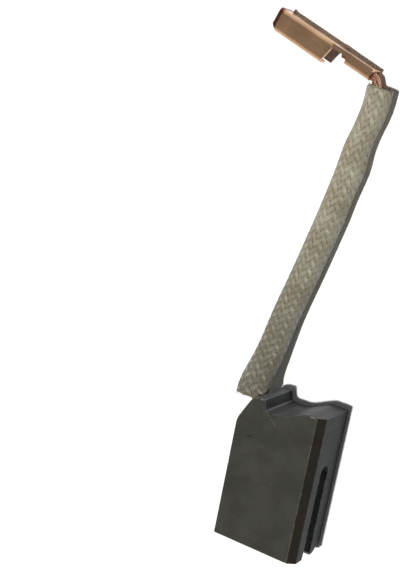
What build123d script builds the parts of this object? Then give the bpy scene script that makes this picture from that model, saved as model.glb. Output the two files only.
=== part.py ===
from build123d import *
import os
from math import atan2, cos, pi, radians, sin, tan

os.makedirs("parts", exist_ok=True)

# A carbon brush with its sleeved copper lead and a folded push-on terminal. Sizes are in millimetres.
# The brush lies on the larger of its ground faces. X runs across the width, from the lead's side
# to the other, Y along the brush from the contact face to the top, and Z up from the table. The
# origin is under the middle of the block, on the table.

# Block: a pressed bar of electrographite, ground on all its long faces
block_width = 12.5
block_thickness = 8.0
block_length = 20.8
guide_chamfer = 1.0

# Block top, from the lead's side across: shoulder, boss, step, saddle, ramp and plateau
shoulder_drop = 3.8
shoulder_width = 1.9
shoulder_foot_radius = 3.0
shoulder_crest_radius = 1.75
boss_width = 3.7
boss_edge_radius = 0.15
step_lean = 0.45
step_foot_radius = 0.5
saddle_drop = 1.5
saddle_floor_width = 2.5
saddle_end_radius = 3.5
ramp_width = 3.2
plateau_edge_radius = 2.5

# Run-out groove down the middle of each side face, open at the contact face
groove_width = 2.3
groove_depth = 1.25
groove_length = 13.5
groove_floor_radius = 0.45

# Lead: stranded copper wire, rammed into an inclined hole in the shoulder with copper powder
wire_diameter = 1.4
tamping_wall = 0.5
lead_mouth_rise = 1.5
lead_angle = 37.0
lead_hole_depth = 6.5
lead_straight = 1.7
wire_seat_depth = 5.6

# Sleeve: braided glass-fibre tube, loose over the wire
sleeve_wall = 0.45
sleeve_slack = 1.5
sleeve_block_gap = 0.1
wire_sleeve_gap = 0.1

# Terminal: one folded sheet, lying on its side with the spine upright and away from the block
sheet = 0.35
inner_fold_radius = 0.27
box_depth = 3.05
box_height = 3.4
box_length = 9.15
heel_slant = 0.5
lower_heel_setback = 2.2
seam_gap = 0.12
flare_length = 0.7
mouth_flare = 0.15
mouth_bevel = 0.9
neck_length = 2.4
neck_wall = 0.6
neck_fillet = 0.5
crimp_length = 4.1
core_depth = 0.85
core_height = 1.7
crimp_seam_gap = 0.08
terminal_turn = 22.0
wire_stub = 1.3

# The lead's route, chosen by hand. Each point is its distance from the lead's mouth along X and Y,
# and the share of the mouth's height that is left, from 1 at the mouth to 0 flat on the table.
sleeve_root_route = [
    (-0.95, 0.55, 1.15),
    (-1.20, 2.15, 1.05),
    (-1.02, 3.95, 0.80),
    (-0.60, 5.90, 0.50),
]
# The wire leaves its hole and leans over to the sleeve's floor
wire_root_route = [
    (-1.15, 2.70, 0.75),
    (-1.00, 4.40, 0.54),
    (-0.50, 6.50, 0.30),
]
# From here the wire and the sleeve go on together
shared_route = [
    (-0.16, 8.60, 0.20),
    (0.53, 13.00, 0.02),
    (2.32, 20.00, 0.00),
    (4.80, 31.00, 0.00),
    (6.12, 38.50, 0.00),
    (6.88, 42.60, 0.00),
]
sleeve_end = (7.10, 45.45, 0.00)
# The wire's turn into the crimp
wire_turn = (6.85, 46.2)
wire_turn_run = 1.15
wire_turn_radius = 1.4

# How near an edge's middle must lie to a place to be counted as there
edge_reach = 0.01
# A rounding takes at most this share of the straight beside it
fillet_room = 0.9

half_width = block_width / 2
contact_y = -block_length / 2
top_y = block_length / 2
middle_height = block_thickness / 2
sleeve_bore = wire_diameter + sleeve_slack
sleeve_radius = sleeve_bore / 2 + sleeve_wall
wire_drop = sleeve_slack / 2 - wire_sleeve_gap
wire_lying_height = sleeve_radius - wire_drop
lead_mouth = Vector(
    -half_width + lead_mouth_rise * shoulder_width / shoulder_drop,
    top_y - shoulder_drop + lead_mouth_rise,
    middle_height,
)
lead_out = Vector(-sin(radians(lead_angle)), cos(radians(lead_angle)), 0)


def route_points(offsets, lying_height):
    """The places of a list of route offsets, for a cord whose middle lies at that height."""
    return [
        Vector(lead_mouth.X + x, lead_mouth.Y + y, lying_height + share * (middle_height - lying_height))
        for x, y, share in offsets
    ]


def bend_radii(points):
    """The largest arc that each corner's two runs allow."""
    radii = []
    for before, corner, after in zip(points, points[1:], points[2:]):
        turn = radians((corner - before).get_angle(after - corner))
        run = min((corner - before).length, (after - corner).length)
        radii.append(0.45 * run / tan(turn / 2))
    return radii


def report_cord(name, radii, length, volume, section):
    """Prints a cord's radii and length, and its volume over its section times its length."""
    print(name, "radii", [round(radius, 1) for radius in radii])
    print(name, "length", round(length, 2), "volume ratio", round(volume / (section * length), 4))


def block_outline():
    """The block's outline, seen from above. It is the same through the whole thickness."""
    shoulder_foot = top_y - shoulder_drop
    saddle_start = -half_width + boss_width + step_lean
    saddle_end = saddle_start + saddle_floor_width
    ramp_end = saddle_end + ramp_width
    # The plateau's rounded edge is no larger than the plateau has room for
    half_turn = atan2(saddle_drop, ramp_width) / 2
    edge_radius = min(plateau_edge_radius, fillet_room * (half_width - ramp_end) / tan(half_turn))
    corners = {
        (-half_width, contact_y): 0,
        (half_width, contact_y): 0,
        (half_width, top_y): 0,
        (ramp_end, top_y): edge_radius,
        (saddle_end, top_y - saddle_drop): saddle_end_radius,
        (saddle_start, top_y - saddle_drop): step_foot_radius,
        (-half_width + boss_width, top_y): boss_edge_radius,
        (-half_width + shoulder_width, top_y): shoulder_crest_radius,
        (-half_width, shoulder_foot): shoulder_foot_radius,
    }
    return FilletPolyline(*corners.keys(), radius=list(corners.values()), close=True)


def make_block():
    """The pressed block, with its grooves, ground chamfers and the hole for the lead."""
    with BuildPart() as block:
        with BuildSketch():
            with BuildLine():
                block_outline()
            make_face()
        extrude(amount=block_thickness)

        # Two ground chamfers, diagonally opposite, key the brush to its holder
        with BuildSketch(Plane.XZ):
            with BuildLine():
                Polyline(
                    (half_width - guide_chamfer, block_thickness),
                    (half_width, block_thickness),
                    (half_width, block_thickness - guide_chamfer),
                    close=True,
                )
            make_face()
            with BuildLine():
                Polyline((-half_width, guide_chamfer), (-half_width, 0), (-half_width + guide_chamfer, 0), close=True)
            make_face()
        extrude(amount=block_length, both=True, mode=Mode.SUBTRACT)

        # The groove ends in a half round under its crown
        straight = groove_length - groove_width / 2
        for side in (-1, 1):
            face = Plane(origin=(side * half_width, contact_y, middle_height), x_dir=(0, 1, 0), z_dir=(side, 0, 0))
            with BuildSketch(face):
                Rectangle(straight, groove_width, align=(Align.MIN, Align.CENTER))
                with Locations((straight, 0)):
                    Circle(groove_width / 2)
            extrude(amount=-groove_depth, mode=Mode.SUBTRACT)
            floor = side * (half_width - groove_depth)
            floor_edges = block.edges().filter_by_position(Axis.X, floor - edge_reach, floor + edge_reach)
            fillet(
                floor_edges.filter_by(lambda edge: edge.center().Y > contact_y + edge_reach),
                radius=groove_floor_radius,
            )

        with BuildSketch(Plane(origin=lead_mouth - lead_out * lead_hole_depth, z_dir=lead_out)):
            Circle(wire_diameter / 2 + tamping_wall)
        extrude(amount=lead_hole_depth + block_thickness, mode=Mode.SUBTRACT)
    block.part.label = "carbon_block"
    export_step(block.part, "parts/carbon_block.step")


def wire_path():
    """The wire's route from its seat in the block to its end in the neck of the terminal."""
    seat = lead_mouth - lead_out * wire_seat_depth
    root = route_points(wire_root_route, wire_lying_height)
    lying = [Vector(p.X, p.Y, p.Z - wire_drop) for p in route_points(shared_route, sleeve_radius)]
    turn = Vector(lead_mouth.X + wire_turn[0], lead_mouth.Y + wire_turn[1], box_height / 2 + mouth_flare)
    return [seat, lead_mouth + lead_out * lead_straight, *root, *lying, turn, terminal_mouthward(turn, wire_turn_run)]


def terminal_mouthward(start, distance):
    """The point that far from start, along the terminal from its crimp to its mouth."""
    return start + Vector(-cos(radians(terminal_turn)), sin(radians(terminal_turn)), 0) * distance


def make_wire():
    """The stranded wire as one plain round cord, with its crimped end pressed to the barrel's bore."""
    points = wire_path()
    radii = [*bend_radii(points)[:-1], wire_turn_radius]
    with BuildPart() as wire:
        with BuildLine():
            route = FilletPolyline(*points, radius=radii)
        with BuildSketch(Plane(origin=route @ 0, z_dir=route % 0)):
            Circle(wire_diameter / 2)
        sweep()
        cord_volume = wire.part.volume
        extrude(crimp_shape(0, sheet), amount=crimp_length + wire_stub)
    wire.part.label = "shunt_wire"
    export_step(wire.part, "parts/shunt_wire.step")
    report_cord("wire", radii, route.length, cord_volume, pi * (wire_diameter / 2) ** 2)


def make_plug():
    """Copper powder rammed round the wire. It is flush with the shoulder."""
    with BuildPart() as plug:
        with BuildSketch(Plane(origin=lead_mouth - lead_out * lead_hole_depth, z_dir=lead_out)):
            Circle(wire_diameter / 2 + tamping_wall)
        extrude(amount=lead_hole_depth + block_thickness)
        with BuildSketch(Plane(origin=lead_mouth - lead_out * wire_seat_depth, z_dir=lead_out)):
            Circle(wire_diameter / 2)
        extrude(amount=wire_seat_depth + block_thickness, mode=Mode.SUBTRACT)
        with BuildSketch():
            with BuildLine():
                block_outline()
            make_face()
        extrude(amount=block_thickness, mode=Mode.INTERSECT)
    plug.part.label = "tamping_plug"
    export_step(plug.part, "parts/tamping_plug.step")


def make_sleeve():
    """The braided sleeve as a plain tube. Its near end opens over the shoulder of the block."""
    points = route_points([*sleeve_root_route, *shared_route, sleeve_end], sleeve_radius)
    radii = bend_radii(points)
    with BuildPart() as sleeve:
        with BuildLine():
            route = FilletPolyline(*points, radius=radii)
        with BuildSketch(Plane(origin=route @ 0, z_dir=route % 0)):
            Circle(sleeve_radius)
            Circle(sleeve_bore / 2, mode=Mode.SUBTRACT)
        sweep()
        tube_volume = sleeve.part.volume
        with BuildSketch():
            with BuildLine():
                block_outline()
            make_face()
            offset(amount=sleeve_block_gap)
        extrude(amount=block_thickness + sleeve_block_gap, mode=Mode.SUBTRACT)
    sleeve.part.label = "insulating_sleeve"
    export_step(sleeve.part, "parts/insulating_sleeve.step")
    ring = pi * (sleeve_radius**2 - (sleeve_bore / 2) ** 2)
    report_cord("sleeve", radii, route.length, tube_volume, ring)


# The terminal's own frame: its axis runs from the crimp's wire end to the mouth. The depth is
# measured from the outside of the spine, and the height from the middle of the sheet's width.
wire_depth = sheet + core_depth / 2
crimp_height = core_height + 2 * sheet
box_start = crimp_length + neck_length


def terminal_plane():
    """Seen from above: local X runs to the mouth and local Y away from the spine."""
    along = terminal_mouthward(Vector(0, 0, 0), 1)
    across = Vector(-along.Y, along.X, 0)
    wire_end = wire_path()[-1]
    return Plane(origin=wire_end - across * wire_depth, x_dir=along, z_dir=(0, 0, 1))


def terminal_section(distance):
    """A plane across the terminal: local X is the depth and local Y the height."""
    lying = terminal_plane()
    return Plane(origin=lying.from_local_coords((distance, 0, 0)), x_dir=lying.y_dir, z_dir=lying.x_dir)


def crimp_shape(distance, wall=0):
    """A flat spine and two wings curled in until they meet, or what is that wall inside it."""
    lobe_radius = crimp_height / 4
    wing_depth = core_depth + 2 * sheet - lobe_radius
    with BuildSketch(terminal_section(distance)) as shape:
        with Locations((wing_depth / 2, 0)):
            Rectangle(wing_depth, crimp_height)
        with Locations((wing_depth, lobe_radius), (wing_depth, -lobe_radius)):
            Circle(lobe_radius)
        if wall:
            offset(amount=-wall, mode=Mode.REPLACE)
    return shape.sketch


def box_ring(distance, wall=0, grow=0):
    """The outline of the box, that wall inside its outer face and grown all round by that much."""
    with BuildSketch(terminal_section(distance)) as ring:
        with Locations((box_depth / 2, 0)):
            RectangleRounded(
                box_depth + 2 * (grow - wall), box_height + 2 * (grow - wall), inner_fold_radius + sheet - wall
            )
    return ring.sketch


def neck_channel(distance, height, wall=0):
    """The neck's outline. Inside the sheet it runs out past the walls, so that the channel is open."""
    with BuildSketch(terminal_section(distance)) as channel:
        with Locations((wall, 0)):
            Rectangle(box_depth if wall else neck_wall, height - 2 * wall, align=(Align.MIN, Align.CENTER))
    return channel.sketch


def make_terminal():
    """One folded sheet: crimp barrel, neck and box receptacle with a flared mouth."""
    taper_end = box_start - neck_fillet
    end = box_start + box_length
    flare_start = end - flare_length
    with BuildPart() as terminal:
        # Outside of the box, with its flared mouth
        extrude(box_ring(box_start), amount=box_length - flare_length)
        loft([box_ring(flare_start), box_ring(end, grow=mouth_flare)])

        # Outside of the neck, and the two curves where its walls rise to the box
        loft([neck_channel(crimp_length, crimp_height), neck_channel(taper_end, box_height)])
        extrude(neck_channel(taper_end, box_height), amount=neck_fillet)
        with BuildSketch(terminal_plane()):
            with Locations((box_start, neck_wall)):
                Rectangle(neck_fillet, neck_fillet, align=(Align.MAX, Align.MIN))
            with Locations((box_start - neck_fillet, neck_wall + neck_fillet)):
                Circle(neck_fillet, mode=Mode.SUBTRACT)
        extrude(amount=box_height / 2, both=True)

        # Outside of the crimp
        extrude(crimp_shape(0), amount=crimp_length)

        # Inside of the sheet, from the mouth to the wire
        extrude(box_ring(box_start, sheet), amount=box_length - flare_length, mode=Mode.SUBTRACT)
        loft([box_ring(flare_start, sheet), box_ring(end, sheet, mouth_flare)], mode=Mode.SUBTRACT)
        narrow = neck_channel(crimp_length, crimp_height, sheet)
        wide = neck_channel(taper_end, box_height, sheet)
        loft([narrow, wide], mode=Mode.SUBTRACT)
        extrude(wide, amount=neck_fillet, mode=Mode.SUBTRACT)
        extrude(crimp_shape(0, sheet), amount=crimp_length, mode=Mode.SUBTRACT)

        # The seams, where the two edges of the sheet meet
        with BuildSketch(terminal_section(box_start)):
            with Locations((box_depth, 0)):
                Rectangle(box_depth, seam_gap)
        extrude(amount=end - box_start, mode=Mode.SUBTRACT)
        with BuildSketch(terminal_section(0)):
            with Locations((wire_depth + core_depth / 2, 0)):
                Rectangle(core_depth, crimp_seam_gap)
        extrude(amount=crimp_length, mode=Mode.SUBTRACT)

        # The edges of the walls slant back at the heel and at the mouth, away from the spine
        mouth_depth = box_depth + mouth_flare
        with BuildSketch(terminal_plane()):
            with BuildLine():
                Polyline(
                    (box_start, neck_wall + neck_fillet),
                    (box_start + heel_slant, box_depth),
                    (box_start, box_depth),
                    close=True,
                )
            make_face()
            with BuildLine():
                Polyline((end - mouth_bevel, mouth_depth), (end, mouth_depth - mouth_bevel), (end, mouth_depth), close=True)
            make_face()
        extrude(amount=box_height, both=True, mode=Mode.SUBTRACT)

        # The lower wall starts further from the crimp than the upper one
        with BuildSketch(terminal_plane()):
            with Locations((box_start, neck_wall)):
                Rectangle(2 * lower_heel_setback, box_depth, align=(Align.CENTER, Align.MIN))
        extrude(amount=-box_height, mode=Mode.SUBTRACT)
    terminal.part.label = "terminal"
    export_step(terminal.part, "parts/terminal.step")


make_block()
make_plug()
make_wire()
make_sleeve()
make_terminal()
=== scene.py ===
import math
import random

import bmesh
import bpy
import numpy as np
from bpy.props import FloatProperty, FloatVectorProperty, IntProperty, PointerProperty
from bpy.types import Operator, Panel, PropertyGroup
from mathutils import Matrix, Vector, kdtree, noise


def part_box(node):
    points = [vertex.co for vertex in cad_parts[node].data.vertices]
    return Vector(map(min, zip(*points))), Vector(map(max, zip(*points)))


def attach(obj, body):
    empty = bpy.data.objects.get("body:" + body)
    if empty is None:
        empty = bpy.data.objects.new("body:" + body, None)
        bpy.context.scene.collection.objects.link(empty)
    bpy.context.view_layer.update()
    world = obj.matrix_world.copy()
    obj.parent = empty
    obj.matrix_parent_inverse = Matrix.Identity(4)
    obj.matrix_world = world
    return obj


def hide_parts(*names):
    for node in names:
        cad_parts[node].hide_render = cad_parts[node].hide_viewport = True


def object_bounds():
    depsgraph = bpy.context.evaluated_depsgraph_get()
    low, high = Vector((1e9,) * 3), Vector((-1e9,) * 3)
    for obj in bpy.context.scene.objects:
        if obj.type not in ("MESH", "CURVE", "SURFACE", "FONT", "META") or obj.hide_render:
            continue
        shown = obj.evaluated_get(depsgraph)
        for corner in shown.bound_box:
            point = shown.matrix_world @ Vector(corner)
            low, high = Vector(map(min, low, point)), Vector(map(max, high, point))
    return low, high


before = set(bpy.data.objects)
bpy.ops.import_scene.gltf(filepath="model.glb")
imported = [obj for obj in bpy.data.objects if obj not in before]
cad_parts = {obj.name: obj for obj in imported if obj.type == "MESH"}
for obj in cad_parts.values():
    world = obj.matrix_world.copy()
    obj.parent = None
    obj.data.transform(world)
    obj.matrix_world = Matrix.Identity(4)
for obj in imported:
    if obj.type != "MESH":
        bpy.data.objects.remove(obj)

bl_info = {
    "name": "Carbon brush",
    "version": (1, 0, 0),
    "blender": (4, 5, 0),
    "location": "3D View > Sidebar > Brush",
    "description": "Dresses a motor brush, its sleeved lead and its push-on terminal",
    "category": "Add Mesh",
}

# The whole object's box before it is dressed, and the boxes of the pieces that are dressed
solid_low, solid_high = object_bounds()
block_low, block_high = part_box("carbon_block")
sleeve_low, sleeve_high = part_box("insulating_sleeve")

# Edges sharper than the first angle are rounded, and the shading breaks at the second
ROUNDED_ANGLE = math.radians(33)
SHADING_ANGLE = math.radians(38)

# The lead's route. Each point is its distance from the lead's mouth along X and Y, in metres,
# and the share of the mouth's height that is left, from 1 at the mouth to 0 flat on the table.
LEAD_MOUTH = Vector((-0.0055, 0.0081, 0.0040))
LEAD_ANGLE = math.radians(37)
SLEEVE_ROOT = [
    (-0.00095, 0.00055, 1.15),
    (-0.00120, 0.00215, 1.05),
    (-0.00102, 0.00395, 0.80),
    (-0.00060, 0.00590, 0.50),
]
WIRE_ROOT = [
    (-0.00115, 0.00270, 0.75),
    (-0.00100, 0.00440, 0.54),
    (-0.00050, 0.00650, 0.30),
]
SHARED_ROUTE = [
    (-0.00016, 0.00860, 0.20),
    (0.00053, 0.01300, 0.02),
    (0.00232, 0.02000, 0.00),
    (0.00480, 0.03100, 0.00),
    (0.00612, 0.03850, 0.00),
    (0.00688, 0.04260, 0.00),
]
SLEEVE_END = (0.00710, 0.04545, 0.00)
# How far the wire reaches into the block, and how far it leaves the mouth straight
WIRE_SEAT = 0.0056
WIRE_STRAIGHT = 0.0017
# Where the wire turns towards the terminal, and how far it is from there to the crimp
WIRE_TURN = (0.00685, 0.04620)
WIRE_TURN_RUN = 0.00115
# The strands cut the corner of the turn by this much
WIRE_BEND_SHIFT = 0.0007

# The sleeve's and the wire's middle lines lie at these heights where they lie flat
SLEEVE_LYING = 0.0019
WIRE_LYING = 0.00125

# The terminal points this way, from its crimp to its mouth
TERMINAL_TURN = math.radians(22)
TERMINAL_ALONG = Vector((-math.cos(TERMINAL_TURN), math.sin(TERMINAL_TURN), 0))
TERMINAL_HEIGHT = 0.00185
CRIMP_LENGTH = 0.0041
# How far the wire reaches past the crimp, into the neck
WIRE_STUB = 0.0013


class BlockSettings(PropertyGroup):
    ridge_pitch: FloatProperty(
        name="Ridge pitch",
        description="From one grinding ridge to the next",
        default=0.00042,
        unit="LENGTH",
    )
    ridge_depth: FloatProperty(
        name="Ridge depth",
        description="How deep the grinding wheel's marks are",
        default=0.000022,
        unit="LENGTH",
    )
    edge_width: FloatProperty(
        name="Edge width",
        description="Width of the rounding on every sharp edge",
        default=0.00005,
        unit="LENGTH",
    )
    wear_reach: FloatProperty(
        name="Wear reach",
        description="How far the pale wear runs from an edge",
        default=0.00028,
        unit="LENGTH",
    )
    chip_depth: FloatProperty(
        name="Chip depth",
        description="Depth of the small chips along the edges",
        default=0.00009,
        unit="LENGTH",
    )
    groove_waver: FloatProperty(
        name="Groove waver",
        description="How far the grooves' edges stray from a straight line",
        default=0.00022,
        unit="LENGTH",
    )
    ground_colour: FloatVectorProperty(
        name="Ground face",
        description="Colour of the ridged face",
        subtype="COLOR",
        size=3,
        default=(0.0545, 0.0545, 0.0470),
    )
    side_colour: FloatVectorProperty(
        name="Sides",
        description="Colour of the smooth sides",
        subtype="COLOR",
        size=3,
        default=(0.046, 0.0490, 0.0500),
    )
    # Painted light: the top is paler than the sides to stand in for light that the lamp overhead does not
    # give it
    top_colour: FloatVectorProperty(
        name="Top",
        description="Colour of the profiled top",
        subtype="COLOR",
        size=3,
        default=(0.098, 0.102, 0.107),
    )
    chamfer_colour: FloatVectorProperty(
        name="Chamfer",
        description="Colour of the two chamfers",
        subtype="COLOR",
        size=3,
        default=(0.0175, 0.0165, 0.0135),
    )


class WireSettings(PropertyGroup):
    strand_radius: FloatProperty(
        name="Strand radius", description="Radius of one copper strand", default=0.000078, unit="LENGTH"
    )
    rope_lay: FloatProperty(
        name="Rope lay",
        description="Length in which a bundle turns once round the wire",
        default=0.0125,
        unit="LENGTH",
    )
    bundle_lay: FloatProperty(
        name="Bundle lay",
        description="Length in which a strand turns once round its bundle",
        default=0.0075,
        unit="LENGTH",
    )
    colour: FloatVectorProperty(
        name="Copper",
        description="Colour of the bare strands",
        subtype="COLOR",
        size=3,
        default=(0.82, 0.47, 0.35),
    )
    powder_colour: FloatVectorProperty(
        name="Powder",
        description="Colour of the rammed copper powder",
        subtype="COLOR",
        size=3,
        default=(0.16, 0.05, 0.03),
    )


class SleeveSettings(PropertyGroup):
    carriers: IntProperty(
        name="Carriers",
        description="Bundles of yarn that run each way round the sleeve",
        default=16,
        min=4,
    )
    braid_pitch: FloatProperty(
        name="Braid pitch",
        description="Length in which a bundle turns once round the sleeve",
        default=0.0190,
        unit="LENGTH",
    )
    yarn_thickness: FloatProperty(
        name="Yarn thickness",
        description="Thickness of one bundle of yarn",
        default=0.00007,
        unit="LENGTH",
    )
    weave_height: FloatProperty(
        name="Weave height",
        description="How far a bundle rises and falls as it crosses others",
        default=0.000024,
        unit="LENGTH",
    )
    light_colour: FloatVectorProperty(
        name="Light yarn",
        description="Colour of clean glass yarn",
        subtype="COLOR",
        size=3,
        default=(0.355, 0.333, 0.252),
    )
    dark_colour: FloatVectorProperty(
        name="Dark yarn",
        description="Colour of soiled glass yarn",
        subtype="COLOR",
        size=3,
        default=(0.170, 0.160, 0.123),
    )


class TerminalSettings(PropertyGroup):
    edge_width: FloatProperty(
        name="Edge width",
        description="Width of the rounding on the sheet's edges",
        default=0.00005,
        unit="LENGTH",
    )
    colour: FloatVectorProperty(
        name="Bronze",
        description="Colour of the outer face of the sheet",
        subtype="COLOR",
        size=3,
        default=(0.60, 0.365, 0.210),
    )
    # Painted shade: the inner faces take this darker, redder colour for the shade inside the folded box
    inner_colour: FloatVectorProperty(
        name="Inner bronze",
        description="Colour of the tarnished inside",
        subtype="COLOR",
        size=3,
        default=(0.30, 0.09, 0.05),
    )


class StageSettings(PropertyGroup):
    camera_place: FloatVectorProperty(
        name="Camera place",
        description="Where the camera stands",
        subtype="XYZ",
        size=3,
        default=(0.053607, 0.051603, 0.129837),
    )
    camera_back: FloatVectorProperty(
        name="Camera back",
        description="From what the camera looks at to the camera",
        subtype="XYZ",
        size=3,
        default=(0.485, 0.200, 0.851),
    )
    camera_up: FloatVectorProperty(
        name="Camera up",
        description="The camera's upward direction",
        subtype="XYZ",
        size=3,
        default=(-0.259, 0.963, -0.079),
    )
    lens: FloatProperty(name="Lens", description="Focal length in millimetres", default=65.85)
    key_strength: FloatProperty(
        name="Key light",
        description="Strength of the lamp overhead",
        default=2.85,
    )
    key_towards: FloatVectorProperty(
        name="Key direction",
        description="From the object to the lamp overhead",
        subtype="XYZ",
        size=3,
        default=(-0.07, -0.10, 1),
    )
    key_angle: FloatProperty(
        name="Key size",
        description="How wide the lamp looks from the object",
        default=math.radians(2.5),
        subtype="ANGLE",
    )
    room_light: FloatProperty(
        name="Room light",
        description="Strength of the light from all round",
        default=0.07,
    )
    floor_colour: FloatProperty(name="Floor", description="How pale the floor is", default=0.85)


class BrushSettings(PropertyGroup):
    block: PointerProperty(type=BlockSettings)
    wire: PointerProperty(type=WireSettings)
    sleeve: PointerProperty(type=SleeveSettings)
    terminal: PointerProperty(type=TerminalSettings)
    stage: PointerProperty(type=StageSettings)


# Shader building

def plug_in(tree, socket, value):
    """Gives a socket a link or a value. A colour may have only three numbers."""
    if isinstance(value, bpy.types.NodeSocket):
        tree.links.new(value, socket)
    elif socket.type == "RGBA" and len(value) == 3:
        socket.default_value = (*value, 1)
    else:
        socket.default_value = value


def add_node(tree, kind, inputs=None, **settings):
    node = tree.nodes.new(kind)
    for name, value in settings.items():
        setattr(node, name, value)
    for name, value in (inputs or {}).items():
        plug_in(tree, node.inputs[name], value)
    return node


def maths(tree, operation, first, second=0.0, clamp=False):
    node = tree.nodes.new("ShaderNodeMath")
    node.operation = operation
    node.use_clamp = clamp
    plug_in(tree, node.inputs[0], first)
    plug_in(tree, node.inputs[1], second)
    return node.outputs[0]


def mix_colours(tree, factor, first, second, blend="MIX"):
    node = tree.nodes.new("ShaderNodeMix")
    node.data_type = "RGBA"
    node.blend_type = blend
    plug_in(tree, node.inputs[0], factor)
    plug_in(tree, node.inputs[6], first)
    plug_in(tree, node.inputs[7], second)
    return node.outputs[2]


def multiplied(tree, colour, factor):
    return mix_colours(tree, 1.0, colour, factor, "MULTIPLY")


def to_range(tree, value, from_low, from_high, to_low=0.0, to_high=1.0):
    node = add_node(tree, "ShaderNodeMapRange", {"Value": value}, interpolation_type="SMOOTHSTEP")
    names = ("From Min", "From Max", "To Min", "To Max")
    for name, number in zip(names, (from_low, from_high, to_low, to_high)):
        node.inputs[name].default_value = number
    return node.outputs["Result"]


def vertex_value(tree, name):
    """A value that the mesh stores at each vertex."""
    return add_node(tree, "ShaderNodeAttribute", attribute_name=name).outputs["Fac"]


def object_place(tree):
    return add_node(tree, "ShaderNodeTexCoord").outputs["Object"]


def noise_value(tree, place, scale, detail, roughness=0.5):
    inputs = {"Vector": place, "Scale": scale, "Detail": detail, "Roughness": roughness}
    return add_node(tree, "ShaderNodeTexNoise", inputs).outputs["Fac"]


def new_group(name, inputs, outputs):
    """A shader node group with its sockets, and its two end nodes."""
    tree = bpy.data.node_groups.new(name, "ShaderNodeTree")
    for socket, kind, value in inputs:
        made = tree.interface.new_socket(socket, in_out="INPUT", socket_type=kind)
        made.default_value = value
    for socket, kind in outputs:
        tree.interface.new_socket(socket, in_out="OUTPUT", socket_type=kind)
    return tree, tree.nodes.new("NodeGroupInput"), tree.nodes.new("NodeGroupOutput")


def mottle_group():
    """Two colours in soft patches, with a finer speckle over them."""
    tree, start, end = new_group(
        "mottle",
        [
            ("First", "NodeSocketColor", (1, 1, 1, 1)),
            ("Second", "NodeSocketColor", (0, 0, 0, 1)),
            ("Patches per metre", "NodeSocketFloat", 200),
            ("Speckle", "NodeSocketFloat", 0.3),
        ],
        [("Colour", "NodeSocketColor")],
    )
    place = object_place(tree)
    per_metre = start.outputs["Patches per metre"]
    patches = to_range(tree, noise_value(tree, place, per_metre, 3, 0.55), 0.32, 0.68)
    # The speckle is this many times finer than the patches
    fine_scale = maths(tree, "MULTIPLY", per_metre, 17)
    centred = maths(tree, "SUBTRACT", noise_value(tree, place, fine_scale, 2, 0.7), 0.5)
    added = maths(tree, "MULTIPLY", centred, start.outputs["Speckle"])
    share = maths(tree, "ADD", patches, maths(tree, "MULTIPLY", added, 3), clamp=True)
    colour = mix_colours(tree, share, start.outputs["First"], start.outputs["Second"])
    tree.links.new(colour, end.inputs["Colour"])
    return tree


def grain_group():
    """The height of a fine grain with scattered pits."""
    tree, start, end = new_group(
        "grain",
        [("Grains per metre", "NodeSocketFloat", 8000), ("Pits", "NodeSocketFloat", 0.5)],
        [("Height", "NodeSocketFloat")],
    )
    place = object_place(tree)
    grains = start.outputs["Grains per metre"]
    fine = noise_value(tree, place, grains, 4, 0.65)
    cell_scale = maths(tree, "MULTIPLY", grains, 0.22)
    cells = add_node(tree, "ShaderNodeTexVoronoi", {"Vector": place, "Scale": cell_scale})
    pits = to_range(tree, cells.outputs["Distance"], 0.05, 0.2, -1, 0)
    height = maths(tree, "ADD", fine, maths(tree, "MULTIPLY", pits, start.outputs["Pits"]))
    tree.links.new(height, end.inputs["Height"])
    return tree


def wear_group():
    """Broken wear along the edges, from the nearness to an edge that the mesh stores."""
    tree, start, end = new_group(
        "edge_wear",
        [
            ("Colour", "NodeSocketColor", (0.5, 0.5, 0.5, 1)),
            ("Worn colour", "NodeSocketColor", (0.8, 0.8, 0.8, 1)),
            ("Amount", "NodeSocketFloat", 0.6),
            ("Breaks per metre", "NodeSocketFloat", 2500),
        ],
        [("Colour", "NodeSocketColor")],
    )
    breaks = noise_value(tree, object_place(tree), start.outputs["Breaks per metre"], 3, 0.6)
    centred = maths(tree, "MULTIPLY", maths(tree, "SUBTRACT", breaks, 0.5), 2.2)
    broken = maths(tree, "ADD", vertex_value(tree, "edge_wear"), centred)
    mask = maths(tree, "MULTIPLY", to_range(tree, broken, 0.55, 1.1), start.outputs["Amount"], clamp=True)
    worn = mix_colours(tree, mask, start.outputs["Colour"], start.outputs["Worn colour"])
    tree.links.new(worn, end.inputs["Colour"])
    return tree


def effect(tree, name, inputs):
    """Places a shared effect in a material. Each group is built once, when it is first used."""
    makers = {"mottle": mottle_group, "grain": grain_group, "edge_wear": wear_group}
    group = bpy.data.node_groups.get(name) or makers[name]()
    node = tree.nodes.new("ShaderNodeGroup")
    node.node_tree = group
    for socket, value in inputs.items():
        plug_in(tree, node.inputs[socket], value)
    return node


def mottled(tree, first, second, per_metre, speckle):
    """The mottle effect's colour."""
    inputs = {"First": first, "Second": second, "Patches per metre": per_metre, "Speckle": speckle}
    return effect(tree, "mottle", inputs).outputs["Colour"]


def new_material(name, **shader_values):
    """A material and its main shader, with the values that are the same all over."""
    material = bpy.data.materials.new(name)
    material.use_nodes = True
    tree = material.node_tree
    shader = tree.nodes["Principled BSDF"]
    for socket, value in shader_values.items():
        plug_in(tree, shader.inputs[socket.replace("_", " ")], value)
    return material, tree, shader


def set_bump(tree, shader, height, distance):
    bump = add_node(tree, "ShaderNodeBump", {"Height": height, "Distance": distance, "Strength": 1.0})
    tree.links.new(bump.outputs["Normal"], shader.inputs["Normal"])


def brighter(colour, factor):
    return tuple(min(1.0, part * factor) for part in colour)


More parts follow.
